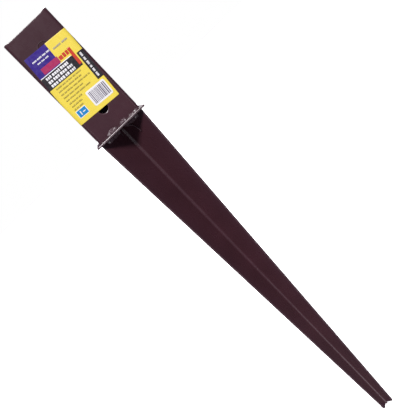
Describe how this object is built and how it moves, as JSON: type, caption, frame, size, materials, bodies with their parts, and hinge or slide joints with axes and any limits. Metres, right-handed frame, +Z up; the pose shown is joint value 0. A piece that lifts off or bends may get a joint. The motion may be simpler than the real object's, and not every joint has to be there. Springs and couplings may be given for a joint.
{
  "type": "post anchor spike",
  "caption": "Drive-in steel spike with folded cross-shaped blades, a base plate and a square clamp-grip socket that holds an upright timber post.",
  "frame": {"origin": "centre of the base plate's top face, where the foot of the post stands", "axes": "+Z up along the spike and socket, -Y towards the front wall that carries the label, +X to the right seen from the front"},
  "size_m": [0.065, 0.082, 0.6023],
  "materials": {
    "brown_paint": "satin dark red-brown dip paint",
    "painted_weld": "glossy brown paint over lumpy weld",
    "zinc": "bright zinc plate",
    "label": "printed glossy vinyl, mostly yellow"
  },
  "bodies": {
    "anchor": {"socket_sleeve": "brown_paint", "base_plate": "brown_paint", "front_blade": "brown_paint", "rear_blade": "brown_paint", "front_weld_left": "painted_weld", "front_weld_middle": "painted_weld", "front_weld_right": "painted_weld", "left_side_weld": "painted_weld", "right_side_weld": "painted_weld", "tip_weld": "painted_weld", "blade_weld_front_left": "painted_weld", "blade_weld_front_right": "painted_weld", "blade_weld_rear_left": "painted_weld", "blade_weld_rear_right": "painted_weld", "spine_weld_left_1": "painted_weld", "spine_weld_left_2": "painted_weld", "spine_weld_left_3": "painted_weld", "spine_weld_left_4": "painted_weld", "spine_weld_right_1": "painted_weld", "spine_weld_right_2": "painted_weld", "spine_weld_right_3": "painted_weld", "spine_weld_right_4": "painted_weld", "upper_clamp_bolt": "zinc", "lower_clamp_bolt": "zinc", "product_label": "label"},
    "upper_washer_ride": {"upper_washer": "zinc"},
    "upper_nut": {"upper_nut": "zinc"},
    "lower_washer_ride": {"lower_washer": "zinc"},
    "lower_nut": {"lower_nut": "zinc"}
  },
  "joints": [
    {"name": "upper_nut_travel", "type": "slide", "parent": "anchor", "child": "upper_washer_ride", "axis": [-1, 0, 0], "range_m": [0, 0.00875]},
    {"name": "upper_nut_turn", "type": "hinge", "parent": "upper_washer_ride", "child": "upper_nut", "pos_m": [0.0136, 0.0385, 0.097], "axis": [-1, 0, 0], "range_deg": [0, 2520]},
    {"name": "lower_nut_travel", "type": "slide", "parent": "anchor", "child": "lower_washer_ride", "axis": [-1, 0, 0], "range_m": [0, 0.00875]},
    {"name": "lower_nut_turn", "type": "hinge", "parent": "lower_washer_ride", "child": "lower_nut", "pos_m": [0.0136, 0.0385, 0.03], "axis": [-1, 0, 0], "range_deg": [0, 2520]}
  ],
  "couplings": [
    {"joint": "upper_nut_turn", "follows": "upper_nut_travel", "rad_per_m": 5026.5},
    {"joint": "lower_nut_turn", "follows": "lower_nut_travel", "rad_per_m": 5026.5}
  ]
}
